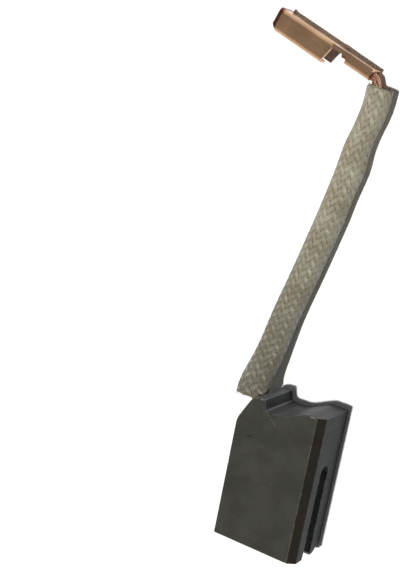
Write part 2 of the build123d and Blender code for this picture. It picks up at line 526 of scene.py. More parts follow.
def streak(tree, middle, angle, length, width):
    """A mask that is 1 along one straight scratch."""
    place = object_place(tree)
    inputs = {"Vector": place, "Location": middle, "Rotation": (0, 0, angle)}
    turned = add_node(tree, "ShaderNodeMapping", inputs, vector_type="TEXTURE")
    parts = add_node(tree, "ShaderNodeSeparateXYZ", {"Vector": turned.outputs["Vector"]})
    along = to_range(tree, maths(tree, "ABSOLUTE", parts.outputs["X"]), 0.35 * length, 0.5 * length, 1, 0)
    across = to_range(tree, maths(tree, "ABSOLUTE", parts.outputs["Y"]), 0.2 * width, 0.5 * width, 1, 0)
    breaks = to_range(tree, noise_value(tree, place, 2500, 2), 0.3, 0.6)
    return maths(tree, "MULTIPLY", maths(tree, "MULTIPLY", along, across), breaks)


CHIP_COLOUR = (0.30, 0.28, 0.24)


def graphite(name, colour, roughness, specular, worn, ridges=0.0, scratches=(), warm=0.0):
    """Pressed graphite. The ridges show as fine darker and lighter lines: painted shade and light on the
    ground face's ridges, and faint cut lines on the other faces.
    """
    material, tree, shader = new_material(name, Specular_IOR_Level=specular)
    patched = mottled(tree, brighter(colour, 1.12), brighter(colour, 0.86), 330, 0.35)
    if warm:
        reddish = mottled(tree, (1, 1, 1), (1 + warm, 1 - 0.2 * warm, 1 - 0.5 * warm), 420, 0.3)
        patched = multiplied(tree, patched, reddish)
    for middle, angle, length, width, brightness in scratches:
        scratch = streak(tree, middle, angle, length, width)
        patched = mix_colours(tree, scratch, patched, brighter(colour, brightness))
    flakes = maths(tree, "ADD", noise_value(tree, object_place(tree), 5200, 2), 0.1)
    broken = maths(tree, "MULTIPLY", vertex_value(tree, "chip"), flakes)
    patched = mix_colours(tree, to_range(tree, broken, 0.22, 0.5), patched, CHIP_COLOUR)
    if ridges:
        # Painted shade and light: darker where the ridge value is low, paler where it is high
        line = to_range(tree, vertex_value(tree, "ridge"), 0.0, 1.0, 1.0 - ridges, 1.0 + ridges)
        shade = add_node(tree, "ShaderNodeCombineColor", {"Red": line, "Green": line, "Blue": line})
        patched = multiplied(tree, patched, shade.outputs["Color"])
    wear = {"Colour": patched, "Worn colour": worn, "Amount": 0.75, "Breaks per metre": 2600}
    worn_colour = effect(tree, "edge_wear", wear).outputs["Colour"]
    tree.links.new(worn_colour, shader.inputs["Base Color"])
    grain = effect(tree, "grain", {"Grains per metre": 9000, "Pits": 0.4}).outputs["Height"]
    rough = to_range(tree, grain, 0.2, 0.8, roughness + 0.08, roughness - 0.08)
    tree.links.new(rough, shader.inputs["Roughness"])
    set_bump(tree, shader, grain, 0.000012)
    return material


# Mesh building

def new_piece(name, mesh, materials, slot, *nodes):
    """An object that rides with the part and may stand for solids. Its slot is not used."""
    for material in materials:
        mesh.materials.append(material)
    piece = bpy.data.objects.new(name, mesh)
    bpy.context.scene.collection.objects.link(piece)
    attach(piece, "root")
    if nodes:
        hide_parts(*nodes)
    return piece


def store(mesh, name, values):
    attribute = mesh.attributes.new(name, "FLOAT", "POINT")
    attribute.data.foreach_set("value", np.asarray(values, dtype=np.float32))


class Skin:
    """Collects tubes as one mesh, with values stored at each vertex."""

    def __init__(self, *value_names):
        self.points = []
        self.faces = []
        self.values = {name: [] for name in value_names}
        self.count = 0

    def add_tube(self, rings, capped=True, **values):
        """Joins rings of points into a tube. Each value is one number or one for each point."""
        stations, around, _ = rings.shape
        index = self.count + np.arange(stations * around).reshape(stations, around)
        turned = np.roll(index, -1, axis=1)
        quads = np.stack([index[:-1], turned[:-1], turned[1:], index[1:]], axis=-1).reshape(-1, 4)
        self.faces.extend(quads.tolist())
        if capped:
            self.faces.append(index[0, ::-1].tolist())
            self.faces.append(index[-1].tolist())
        self.points.append(rings.reshape(-1, 3))
        for name, value in values.items():
            self.values[name].append(np.broadcast_to(value, (stations, around)).reshape(-1))
        self.count += stations * around

    def to_mesh(self, name):
        """The mesh. Nothing in it reaches under the table."""
        points = np.concatenate(self.points)
        points[:, 2] = np.maximum(points[:, 2], 0)
        mesh = bpy.data.meshes.new(name)
        mesh.from_pydata(points.tolist(), [], self.faces)
        for value_name, parts in self.values.items():
            store(mesh, value_name, np.concatenate(parts))
        mesh.shade_smooth()
        return mesh


class Line:
    """The smooth line that has a route's points as its control points."""

    def __init__(self, name, route):
        curve = bpy.data.curves.new(name, "CURVE")
        curve.dimensions = "3D"
        spline = curve.splines.new("NURBS")
        spline.points.add(len(route) - 1)
        for point, place in zip(spline.points, route):
            point.co = (*place, 1)
        spline.order_u = 3
        spline.use_endpoint_u = True
        spline.resolution_u = 40
        holder = bpy.data.objects.new(name, curve)
        mesh = bpy.data.meshes.new_from_object(holder)
        self.points = np.array([vertex.co for vertex in mesh.vertices])
        steps = np.linalg.norm(np.diff(self.points, axis=0), axis=1)
        self.reach = np.concatenate([[0], np.cumsum(steps)])
        self.length = float(self.reach[-1])
        bpy.data.objects.remove(holder)
        bpy.data.curves.remove(curve)
        bpy.data.meshes.remove(mesh)

    def at(self, distances):
        columns = [np.interp(distances, self.reach, self.points[:, axis]) for axis in range(3)]
        return np.stack(columns, axis=-1)

    def frames(self, distances):
        """The places at those distances, with the level and the upward direction across the line."""
        near = 0.0002
        ahead = self.at(np.minimum(distances + near, self.length))
        behind = self.at(np.maximum(distances - near, 0))
        along = ahead - behind
        along /= np.linalg.norm(along, axis=1, keepdims=True)
        level = np.cross(along, (0, 0, 1))
        level /= np.linalg.norm(level, axis=1, keepdims=True)
        return self.at(distances), level, np.cross(level, along)


def route_places(offsets, lying):
    """The places of a list of route offsets, for a cord whose middle lies at that height."""
    drop = LEAD_MOUTH.z - lying
    return [Vector((LEAD_MOUTH.x + x, LEAD_MOUTH.y + y, lying + share * drop)) for x, y, share in offsets]


def sleeve_route():
    return route_places([*SLEEVE_ROOT, *SHARED_ROUTE, SLEEVE_END], SLEEVE_LYING)


def wire_route():
    """From the wire's seat in the block to its end in the neck of the terminal."""
    out = Vector((-math.sin(LEAD_ANGLE), math.cos(LEAD_ANGLE), 0))
    root = route_places(WIRE_ROOT, WIRE_LYING)
    sunk = Vector((0, 0, SLEEVE_LYING - WIRE_LYING))
    lying = [place - sunk for place in route_places(SHARED_ROUTE, SLEEVE_LYING)]
    turn = Vector((LEAD_MOUTH.x + WIRE_TURN[0], LEAD_MOUTH.y + WIRE_TURN[1], TERMINAL_HEIGHT))
    crimp = turn + TERMINAL_ALONG * WIRE_TURN_RUN
    bend = turn + TERMINAL_ALONG * WIRE_BEND_SHIFT
    crimp_middle = crimp + TERMINAL_ALONG * (CRIMP_LENGTH / 2)
    wire_end = crimp + TERMINAL_ALONG * (CRIMP_LENGTH + WIRE_STUB)
    seat = LEAD_MOUTH - out * WIRE_SEAT
    mouth = LEAD_MOUTH + out * WIRE_STRAIGHT
    return [seat, mouth, *root, *lying, bend, crimp, crimp_middle, wire_end]


def softened(values, reach):
    """Each value with its neighbours' mean, as far as reach on each side."""
    padded = np.pad(values, reach, mode="edge")
    return np.convolve(padded, np.ones(2 * reach + 1) / (2 * reach + 1), mode="valid")


def wandering(generator, count, reach):
    """Values between -1 and 1 that wander along a line."""
    values = softened(np.array([generator.uniform(-1, 1) for _ in range(count)]), reach)
    return values / np.abs(values).max()


def smooth_step(value, low, high):
    share = np.clip((value - low) / (high - low), 0, 1)
    return share * share * (3 - 2 * share)


def copied_solid(name, node, edge_width):
    """A solid's faces with its sharp edges rounded, and the sharp edges' places."""
    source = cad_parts[node].data
    mesh = bpy.data.meshes.new(name)
    places = [vertex.co for vertex in source.vertices]
    mesh.from_pydata(places, [], [list(face.vertices) for face in source.polygons])
    work = bmesh.new()
    work.from_mesh(mesh)
    bmesh.ops.remove_doubles(work, verts=work.verts, dist=1e-6)
    bmesh.ops.dissolve_limit(work, angle_limit=math.radians(0.6), verts=work.verts, edges=work.edges)
    folds = [edge for edge in work.edges if len(edge.link_faces) == 2]
    sharp = [edge for edge in folds if edge.calc_face_angle() > ROUNDED_ANGLE]
    ridge_lines = [(edge.verts[0].co.copy(), edge.verts[1].co.copy()) for edge in sharp]
    shape = {"segments": 2, "profile": 0.5, "affect": "EDGES", "clamp_overlap": True}
    bmesh.ops.bevel(work, geom=sharp, offset=edge_width, **shape)
    return mesh, work, ridge_lines


def cut_grid(work, axis, low, high, step):
    """Cuts all faces with evenly spaced planes across one axis."""
    normal = Vector([float(index == axis) for index in range(3)])
    count = round((high - low) / step)
    for index in range(1, count):
        place = normal * (low + (high - low) * index / count)
        geometry = work.verts[:] + work.edges[:] + work.faces[:]
        bmesh.ops.bisect_plane(work, geom=geometry, dist=1e-8, plane_co=place, plane_no=normal)


def even_shading(piece):
    """Keeps large flat faces flat in the shading, beside their rounded edges."""
    piece.modifiers.new("even shading", "WEIGHTED_NORMAL").keep_sharp = True


def edge_nearness(points, ridge_lines, reach):
    """For each point, 1 on a sharp edge, falling to 0 at that reach from it."""
    samples = []
    for start, end in ridge_lines:
        count = max(1, int((end - start).length / (0.25 * reach)))
        samples += [start.lerp(end, index / count) for index in range(count + 1)]
    tree = kdtree.KDTree(len(samples))
    for index, place in enumerate(samples):
        tree.insert(place, index)
    tree.balance()
    return [max(0.0, 1 - tree.find(point)[2] / reach) for point in points]


# The block

GROOVE_WIDTH = 0.0023
GROOVE_LENGTH = 0.0135
# The step in the top lies above this place along Y
STEP_FOOT = 0.0075
# The boss that the lead leaves lies below this place along X
BOSS_SIDE = -0.002
# How far the wavering of the grooves' edges reaches, along Z and along X
GROOVE_EDGE = 0.0002
SIDE_EDGE = 0.0003

# A corner is chipped off past a plane: a place on it and its direction outward
CORNER_CHIPS = [
    (Vector((0.00605, -0.0098, 0.0004)), Vector((0.86, -0.42, -0.29)).normalized()),
    (Vector((0.00500, -0.0102, 0.0000)), Vector((0.30, -0.70, -0.65)).normalized()),
]
# Small pale chips along the edges: the middle and the reach of each
EDGE_CHIPS = [
    (Vector((-0.00006, 0.00910, 0.0080)), 0.00034),
    (Vector((0.00067, 0.00921, 0.0080)), 0.00028),
    (Vector((0.00326, 0.01037, 0.0080)), 0.00030),
    (Vector((0.00445, 0.01036, 0.0080)), 0.00036),
    (Vector((0.00500, 0.01030, 0.0079)), 0.00026),
    (Vector((-0.00311, 0.01035, 0.0080)), 0.00034),
    (Vector((-0.00387, 0.01030, 0.0080)), 0.00030),
    (Vector((0.00625, -0.00656, 0.0021)), 0.00030),
]
# Scratches on the ridged face: the middle, the direction, the length, the width and the brightness
SCRATCHES = [
    ((-0.00140, 0.00822, 0.0080), math.radians(-38.5), 0.0031, 0.00020, 1.8),
    ((-0.00250, 0.00880, 0.0080), math.radians(-62), 0.0016, 0.00018, 1.6),
    ((-0.00390, 0.00470, 0.0080), math.radians(-10), 0.0011, 0.00050, 0.45),
]


# The block's finishes, with painted light on the top, the boss and the groove, in the order of its
# materials
RIDGED, SMOOTH, CHAMFER, GROOVE, TOP, STEP, BOSS = range(7)

# How far a face's middle has to lie inside a side, past a groove's edge and past its ends
SIDE_SLACK = 0.00008
GROOVE_SLACK = 0.00002
END_SLACK = 0.0001

# The mesh has cuts this far apart across the block, and this many for each ridge along it
BLOCK_GRID = 0.00028
CUTS_PER_RIDGE = 6


def graphite_zone(normal, middle):
    """Which finish a face of the block has, from its direction and its middle. The top, the boss and the
    groove carry painted light.
    """
    from_middle = middle.z - block_high.z / 2
    inside = block_high.x - abs(middle.x) > SIDE_SLACK
    in_groove = abs(from_middle) < GROOVE_WIDTH / 2 + GROOVE_SLACK
    low = block_low.y + END_SLACK
    if inside and in_groove and low < middle.y < low + GROOVE_LENGTH:
        return GROOVE
    slanted = abs(abs(normal.x) - abs(normal.z)) < 0.25 and abs(normal.x) > 0.5
    if slanted and middle.x * from_middle > 0:
        return CHAMFER
    if normal.z > 0.8:
        return RIDGED
    if normal.y > 0.55:
        return BOSS if middle.x < BOSS_SIDE else TOP
    if normal.x > 0.3 and inside and middle.y > STEP_FOOT:
        return STEP
    return SMOOTH


def patchy(place, along_x, along_y, along_z=math.inf, shift=0):
    """A smooth random value from -1 to 1, in patches of those sizes. A shift gives other patches."""
    return noise.noise(Vector((place.x / along_x, place.y / along_y, place.z / along_z + shift)))


def weather_block(work, nearness, settings):
    """Chips the block and cuts its ridges. Returns each vertex's height on a ridge and its chip."""
    ridges = []
    chips = []
    for vertex, near in zip(work.verts, nearness):
        for corner, outward in CORNER_CHIPS:
            past = (vertex.co - corner).dot(outward)
            if past > 0:
                vertex.co -= outward * past * (0.9 + 0.25 * noise.noise(vertex.co / 0.0006))
        place = vertex.co.copy()
        normal = vertex.normal.copy()

        # The small chips at chosen places
        chips.append(max(max(0, 1 - (place - middle).length / reach) for middle, reach in EDGE_CHIPS))
        if chips[-1] > 0:
            vertex.co -= normal * settings.chip_depth * chips[-1]

        # The ridges run across the face and waver a little
        drift = 0.00004 * patchy(place, 0.004, 0.002)
        phase = ((place.y + drift) / settings.ridge_pitch) % 1
        crest = 1 - (2 * phase - 1) ** 2
        on_face = min(1, max(0, (place.z - block_high.z + settings.edge_width) / settings.edge_width))
        unevenness = 0.75 + 0.5 * patchy(place, 0.003, 0.0011, shift=3)
        vertex.co.z -= settings.ridge_depth * crest * unevenness * on_face
        # The top was cut along the block's thickness, which leaves faint lines that way
        cut_line = 0.5 + 0.8 * patchy(place, 0.00045, 0.00030, 0.02)
        # On the ridged face this value paints shade in the ridges' hollows and light on their tops;
        # elsewhere it holds the cut lines
        ridges.append(min(1, max(0, 0.5 + (0.5 - crest) * unevenness if on_face else cut_line)))

        # The grooves' edges waver
        beside_groove = abs(abs(place.z - block_high.z / 2) - GROOVE_WIDTH / 2) < GROOVE_EDGE
        in_side = abs(place.x) > block_high.x - SIDE_EDGE
        if beside_groove and in_side and place.y < block_low.y + GROOVE_LENGTH:
            vertex.co.z += near * settings.groove_waver * patchy(place, 0.002, 0.0007, shift=5)

        # Small random chips along all edges, and a faint unevenness all over
        chip = noise.noise(place / 0.00045) + 0.5 * noise.noise(place / 0.00017)
        if near > 0.2 and chip > 0.42:
            vertex.co -= normal * settings.chip_depth * min(1, 3 * (chip - 0.42)) * near
        vertex.co -= normal * 0.000006 * (1 + noise.noise(place / 0.0009))
        vertex.co.z = max(0, vertex.co.z)
    return ridges, chips


def make_block(settings):
    mesh, work, ridge_lines = copied_solid("graphite_block", "carbon_block", settings.edge_width)
    cut_grid(work, 0, block_low.x, block_high.x, BLOCK_GRID)
    cut_grid(work, 2, block_low.z, block_high.z, BLOCK_GRID)
    cut_grid(work, 1, block_low.y, block_high.y, settings.ridge_pitch / CUTS_PER_RIDGE)
    work.normal_update()
    places = [vertex.co for vertex in work.verts]
    nearness = edge_nearness(places, ridge_lines, settings.wear_reach)
    ridges, chips = weather_block(work, nearness, settings)
    for face in work.faces:
        face.material_index = graphite_zone(face.normal, face.calc_center_median())
    work.to_mesh(mesh)
    work.free()
    store(mesh, "edge_wear", nearness)
    store(mesh, "ridge", ridges)
    store(mesh, "chip", [min(1, 1.5 * value) for value in chips])
    mesh.shade_smooth()
    mesh.set_sharp_from_angle(angle=SHADING_ANGLE)

    ground = settings.ground_colour
    side = settings.side_colour
    top = settings.top_colour
    worn_ground = (0.13, 0.125, 0.11)
    worn_side = (0.15, 0.16, 0.16)
    worn_chamfer = (0.05, 0.045, 0.04)
    worn_top = (0.20, 0.19, 0.18)
    materials = [
        graphite("ground_graphite", ground, 0.62, 0.12, worn_ground, 0.10, SCRATCHES, warm=0.05),
        graphite("pressed_graphite", side, 0.5, 0.08, worn_side, ridges=0.10),
        graphite("chamfered_graphite", settings.chamfer_colour, 0.6, 0.12, worn_chamfer, warm=0.2),
        # Painted light: the groove gets 3.4 times the sides' colour so that it shows, though little light
        # reaches into it
        graphite("groove_graphite", brighter(side, 3.4), 0.8, 0.1, (0.17, 0.17, 0.17)),
        # Painted light: the top and, more so, the boss are paler than the sides to stand in for light
        # that the lamp overhead does not give them
        graphite("cut_graphite_painted_light", top, 0.5, 0.16, worn_top, ridges=0.13, warm=0.08),
        graphite("step_graphite", side, 0.55, 0.14, (0.12, 0.12, 0.12), ridges=0.32),
        graphite("boss_painted_light_graphite", brighter(top, 2.1), 0.55, 0.14, (0.20, 0.20, 0.20), ridges=0.13),
    ]
    block = new_piece("graphite_block", mesh, materials, "carbon", "carbon_block")
    even_shading(block)
    return block


# The copper powder and the wire

def dress_plug(settings):
    """The rammed copper powder keeps its solid's shape."""
    material, tree, shader = new_material("rammed_powder", Specular_IOR_Level=0.3, Roughness=0.8)
    colour = mottled(tree, settings.powder_colour, brighter(settings.powder_colour, 0.3), 2200, 0.6)
    tree.links.new(colour, shader.inputs["Base Color"])
    grain = effect(tree, "grain", {"Grains per metre": 7000, "Pits": 0.9}).outputs["Height"]
    tree.links.new(to_range(tree, grain, 0.5, 0.8, 0.0, 0.7), shader.inputs["Metallic"])
    set_bump(tree, shader, grain, 0.00004)
    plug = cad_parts["tamping_plug"]
    plug.data.materials.clear()
    plug.data.materials.append(material)


def strand_copper(settings):
    """Bare copper, each strand a little different, with darker spots."""
    material, tree, shader = new_material("strand_copper", Metallic=1.0, Specular_IOR_Level=0.5)
    dark = brighter(settings.colour, 0.62)
    pale = brighter(settings.colour, 1.12)
    tint = mix_colours(tree, vertex_value(tree, "tone"), dark, pale)
    colour = mix_colours(tree, 0.35, tint, mottled(tree, tint, (0.45, 0.17, 0.10), 900, 0.4))
    tree.links.new(colour, shader.inputs["Base Color"])
    grain = effect(tree, "grain", {"Grains per metre": 16000, "Pits": 0.1}).outputs["Height"]
    tree.links.new(to_range(tree, grain, 0.3, 0.7, 0.22, 0.42), shader.inputs["Roughness"])
    set_bump(tree, shader, grain, 0.000006)
    return material


# One bundle, or one strand of a bundle, in the middle and this many round it
AROUND_THE_MIDDLE = 6
# The wire's rings are this far apart
WIRE_STEP = 0.00026
# How far before the crimp the strands leave the sleeve and begin to loosen
SLEEVE_LEAVE = 0.0024
# In the crimp the wire is narrower and higher by these shares
PRESSED_NARROWER = 0.42
PRESSED_HIGHER = 0.17
# How far loose strands stray sideways and upward, and how much the bundles spread
STRAY_SIDEWAYS = 0.00012
STRAY_UPWARD = 0.00009
LOOSE_SPREAD = 0.05


def make_wire(settings):
    """Forty-nine strands in seven bundles. They loosen before the crimp and are pressed in it."""
    line = Line("wire_line", wire_route())
    distances = np.linspace(0, line.length, round(line.length / WIRE_STEP))
    middle, level, up = line.frames(distances)
    crimp_start = line.length - CRIMP_LENGTH - WIRE_STUB
    loosening = crimp_start - SLEEVE_LEAVE
    pressed = smooth_step(distances, crimp_start - 0.0022, crimp_start - 0.0002)
    held_again = smooth_step(distances, crimp_start - 0.0009, crimp_start)
    loose = smooth_step(distances, loosening, loosening + 0.0008) * (1 - held_again)
    level_scale = 1 - PRESSED_NARROWER * pressed
    up_scale = 1 + PRESSED_HIGHER * pressed

    generator = random.Random(7)
    skin = Skin("tone")
    turns = np.linspace(0, 2 * np.pi, 6, endpoint=False)
    bundle_radius = 6 * settings.strand_radius
    spread = 1 + LOOSE_SPREAD * loose
    spacing = 2 * np.pi / AROUND_THE_MIDDLE
    for bundle in range(1 + AROUND_THE_MIDDLE):
        bundle_angle = bundle * spacing + 2 * np.pi * distances / settings.rope_lay
        bundle_reach = bundle_radius if bundle else 0
        for strand in range(1 + AROUND_THE_MIDDLE):
            strand_angle = strand * spacing - 2 * np.pi * distances / settings.bundle_lay
            strand_reach = 2 * settings.strand_radius if strand else 0
            stray = generator.uniform(-1, 1) * loose * STRAY_SIDEWAYS
            lift = generator.uniform(-1, 1) * loose * STRAY_UPWARD
            across = bundle_reach * np.cos(bundle_angle) + strand_reach * np.cos(strand_angle)
            above = bundle_reach * np.sin(bundle_angle) + strand_reach * np.sin(strand_angle)
            sideways = across * spread + stray
            upward = above * spread + lift
            radius = settings.strand_radius * (0.97 if strand else 1)
            short = generator.uniform(0, 0.0006)
            kept = distances <= line.length - short
            to_side = (sideways[:, None] + radius * np.cos(turns)) * level_scale[:, None]
            to_top = (upward[:, None] + radius * np.sin(turns)) * up_scale[:, None]
            rings = middle[:, None, :] + to_side[..., None] * level[:, None, :]
            rings += to_top[..., None] * up[:, None, :]
            skin.add_tube(rings[kept], tone=generator.random())
    mesh = skin.to_mesh("copper_strands")
    wire = new_piece("copper_strands", mesh, [strand_copper(settings)], "copper_strands", "shunt_wire")
    return wire


# The sleeve

# Distance from the near end, width, height, roll in degrees, and shift to the far side
SLEEVE_STATIONS = [
    (0.0000, 0.00490, 0.00300, -16, -0.00020),
    (0.0020, 0.00432, 0.00325, -14, -0.00010),
    (0.0040, 0.00395, 0.00345, -12, -0.00004),
    (0.0080, 0.00382, 0.00360, -8, -0.00002),
    (0.0160, 0.00378, 0.00365, 0, -0.00004),
    (0.0280, 0.00374, 0.00365, 0, -0.00004),
    (0.0305, 0.00358, 0.00365, 0, 0.00002),
    (0.0350, 0.00376, 0.00365, 0, -0.00004),
    (0.0375, 0.00346, 0.00365, 0, 0.00022),
    (0.0398, 0.00318, 0.00360, 0, 0.00008),
    (0.0420, 0.00335, 0.00365, 0, -0.00010),
    (0.0440, 0.00338, 0.00370, 0, -0.00014),
    (0.0460, 0.00340, 0.00370, 0, 0.00004),
]
# The sleeve starts where places this far outside its surface are this far from the shoulder
SHOULDER_TEST_RISE = 0.00005
SHOULDER_CLEARANCE = 0.00004
# The shoulder slopes over this much of the block's length and width
SHOULDER_LENGTH = 0.0038
SHOULDER_WIDTH = 0.0019
# How much further one side of the sleeve is cut back than the other, at the near and the far end
SLEEVE_CUT_SLANT = 0.0007
SLEEVE_END_SLANT = 0.0002
# How deep the two inner layers lie. They close the gaps between the bundles.
INNER_LAYERS = (0.00016, 0.00034)
# Across a bundle: a place from -1 to 1 and its height, over three yarns
BUNDLE_PROFILE = [
    (-1, 0.0),
    (-0.67, 1.0),
    (-0.33, 0.62),
    (0, 1.0),
    (0.33, 0.62),
    (0.67, 1.0),
    (1, 0.0),
    (0.6, -0.5),
    (-0.6, -0.5),
]
# Half the angle that a bundle covers round the sleeve, as a share of the bundles' spacing
HALF_COVER = 0.53
# How many loose filaments there are at the near and at the far end
FRAYED_COUNTS = (170, 80)
# A filament begins this far inside the end, and this far below the sleeve's surface
FRAY_ROOT = 0.0004
FRAY_DEPTH = 0.00008
# A filament that comes closer than this to the shoulder or the table is left out
FRAY_SHOULDER_CLEARANCE = 0.00006
FRAY_TABLE_CLEARANCE = 0.00002


def shoulder_distance(points):
    """How far points are outside the block's sloping shoulder, its side and its top."""
    foot = np.array([block_low.x, block_high.y - SHOULDER_LENGTH])
    crest = np.array([block_low.x + SHOULDER_WIDTH, block_high.y])
    slope = crest - foot
    outward = np.array([-slope[1], slope[0]]) / np.linalg.norm(slope)
    past_slope = (points[..., 0] - foot[0]) * outward[0] + (points[..., 1] - foot[1]) * outward[1]
    past_side = block_low.x - points[..., 0]
    past_top = points[..., 1] - block_high.y
    return np.maximum.reduce([past_slope, past_side, past_top])


class SleeveForm:
    """The sleeve's surface: places by the distance along it and the angle round it."""

    def __init__(self):
        self.line = Line("sleeve_line", sleeve_route())
        scale = self.line.length / SLEEVE_STATIONS[-1][0]
        stops = np.array([station[0] for station in SLEEVE_STATIONS]) * scale
        self.table_places = np.linspace(0, self.line.length, 400)
        self.tables = []
        for part in (1, 2, 3, 4):
            values = [station[part] for station in SLEEVE_STATIONS]
            self.tables.append(softened(np.interp(self.table_places, stops, values), 9))
        self.start_angles = np.linspace(0, 2 * np.pi, 97)
        self.starts = np.array([self.clear_start(angle) for angle in self.start_angles])

    def clear_start(self, angle):
        """The distance from which the sleeve's surface is clear of the block at an angle."""
        distances = np.linspace(0, self.line.length / 3, 160)
        places = self.places(distances, np.full_like(distances, angle), SHOULDER_TEST_RISE)
        blocked = np.nonzero(~(shoulder_distance(places) > SHOULDER_CLEARANCE))[0]
        return distances[min(blocked[-1] + 1, len(distances) - 1)] if len(blocked) else 0

    def places(self, distances, angles, rise):
        """Points on the surface, raised from it by rise."""
        middle, level, up = self.line.frames(distances)
        parts = (np.interp(distances, self.table_places, table) for table in self.tables)
        width, height, roll, shift = parts
        roll = np.radians(roll)
        across = (width / 2 + rise) * np.cos(angles)
        above = (height / 2 + rise) * np.sin(angles)
        sideways = across * np.cos(roll) - above * np.sin(roll)
        upward = across * np.sin(roll) + above * np.cos(roll)
        return middle + (sideways - shift)[:, None] * level + upward[:, None] * up

    def start(self, angles):
        """Where the sleeve starts at an angle. It is cut on a slant, and further back at the shoulder."""
        cleared = np.interp(np.mod(angles, 2 * np.pi), self.start_angles, self.starts)
        return np.maximum(cleared, SLEEVE_CUT_SLANT * (0.5 - 0.5 * np.cos(angles)))

    def end(self, angles):
        return self.line.length - SLEEVE_END_SLANT * (0.5 + 0.5 * np.cos(angles))


def soiling(points):
    """How soiled the sleeve is: most beside the block, and clean towards the terminal."""
    share = (points[..., 1] - sleeve_low.y) / (sleeve_high.y - sleeve_low.y)
    return 1 - smooth_step(share, 0.0, 0.85)


def glass_yarn(settings):
    """Glass yarn with painted shade between the crests and painted glints on them, a light gloss and
    soiled patches.
    """
    material, tree, shader = new_material(
        "glass_yarn",
        Specular_IOR_Level=0.4,
        Roughness=0.5,
        Sheen_Weight=0.3,
        Sheen_Roughness=0.35,
        Sheen_Tint=(0.85, 0.92, 1.0),
    )
    soiled = mix_colours(tree, vertex_value(tree, "soil"), settings.light_colour, settings.dark_colour)
    cleaner = multiplied(tree, soiled, (1.10, 1.11, 1.12))
    stained = multiplied(tree, soiled, (0.84, 0.78, 0.70))
    patched = mottled(tree, cleaner, stained, 260, 0.9)
    pale = multiplied(tree, patched, (1.45, 1.45, 1.42))
    toned = mix_colours(tree, vertex_value(tree, "tone"), patched, pale)
    # Painted shade: away from the crests, in the gaps between the bundles, the yarn's colour is darkened
    crest = to_range(tree, vertex_value(tree, "crest"), 0.15, 0.95)
    shaded = mix_colours(tree, crest, multiplied(tree, toned, (0.90, 0.87, 0.83)), toned)
    # Painted glints: the yarn turns pale where the mesh stores a glint
    glinting = mix_colours(tree, vertex_value(tree, "glint"), shaded, (0.80, 0.78, 0.68))
    tree.links.new(glinting, shader.inputs["Base Color"])
    grain = effect(tree, "grain", {"Grains per metre": 15000, "Pits": 0.1}).outputs["Height"]
    set_bump(tree, shader, grain, 0.000015)
    return material


def add_inner_layers(skin, form):
    around = np.linspace(0, 2 * np.pi, 49)[:-1]
    shares = np.linspace(0, 1, 120)
    for depth in INNER_LAYERS:
        columns = []
        for angle in around:
            start = form.start(angle)
            distances = start + (form.end(angle) - start) * shares
            columns.append(form.places(distances, np.full_like(distances, angle), -depth))
        rings = np.stack(columns, axis=1)
        # With no crest, the inner layers take the painted shade of the gaps
        skin.add_tube(rings, capped=False, tone=0.1, crest=0.0, glint=0, soil=soiling(rings))


def add_braid(skin, form, generator, settings):
    """Bundles of three yarns, each of which passes over two others and under two."""
    over = np.array([place for place, _ in BUNDLE_PROFILE])
    rise = np.array([height for _, height in BUNDLE_PROFILE])
    step = settings.braid_pitch / settings.carriers / 5
    distances = np.linspace(0, form.line.length, round(form.line.length / step))
    spacing = 2 * np.pi / settings.carriers
    half_cover = HALF_COVER * spacing
    for way in (-1, 1):
        for carrier in range(settings.carriers):
            wander = wandering(generator, len(distances), 4)
            turn = way * 2 * np.pi * distances / settings.braid_pitch
            angle = turn + spacing * (carrier + (0.5 if way > 0 else 0) + 0.09 * wander)
            raised = way * np.sin(settings.carriers / 2 * angle)
            unevenness = 0.4 * wandering(generator, len(distances), 2)
            lift = settings.weave_height * (np.clip(1.6 * raised, -1, 1) + unevenness)
            angles = angle[:, None] + half_cover * over
            rises = lift[:, None] + settings.yarn_thickness * 0.5 * rise
            kept = (distances >= form.start(angle)) & (distances <= form.end(angle))
            if kept.sum() < 2:
                continue
            columns = [form.places(distances, angles[:, k], rises[:, k]) for k in range(len(over))]
            rings = np.stack(columns, axis=1)[kept]
            # The crest value sets the painted shade: lower where a bundle dips under others and at its
            # edges
            crest = np.clip(0.5 + 0.35 * raised[:, None] + 0.25 * (rise - 0.6), 0, 1)
            # Each float of a bundle has a shade of its own
            floats = np.floor(settings.carriers / 4 / np.pi * angle).astype(int)
            floats -= floats.min()
            shade = np.array([generator.random() for _ in range(floats.max() + 1)])[floats]
            # Painted glints: the crests are painted paler in two rows along the sleeve, where they would
            # catch the light, some more than others
            left_row = np.exp(-(((np.cos(angle) + 0.66) / 0.24) ** 2))
            right_row = np.exp(-(((np.cos(angle) - 0.42) / 0.25) ** 2))
            facing = np.maximum(0.35, np.maximum(1.3 * left_row, 0.7 * right_row))
            strength = facing * (0.35 + 0.65 * shade) * (1 if way > 0 else 0.35)
            peak = smooth_step(raised, 0.80, 1.0) * strength
            glint = peak[:, None] * np.clip(1 - 1.3 * np.abs(over), 0, 1)
            tone = 0.5 * shade[kept, None]
            skin.add_tube(rings, tone=tone, crest=crest[kept], glint=glint[kept], soil=soiling(rings))


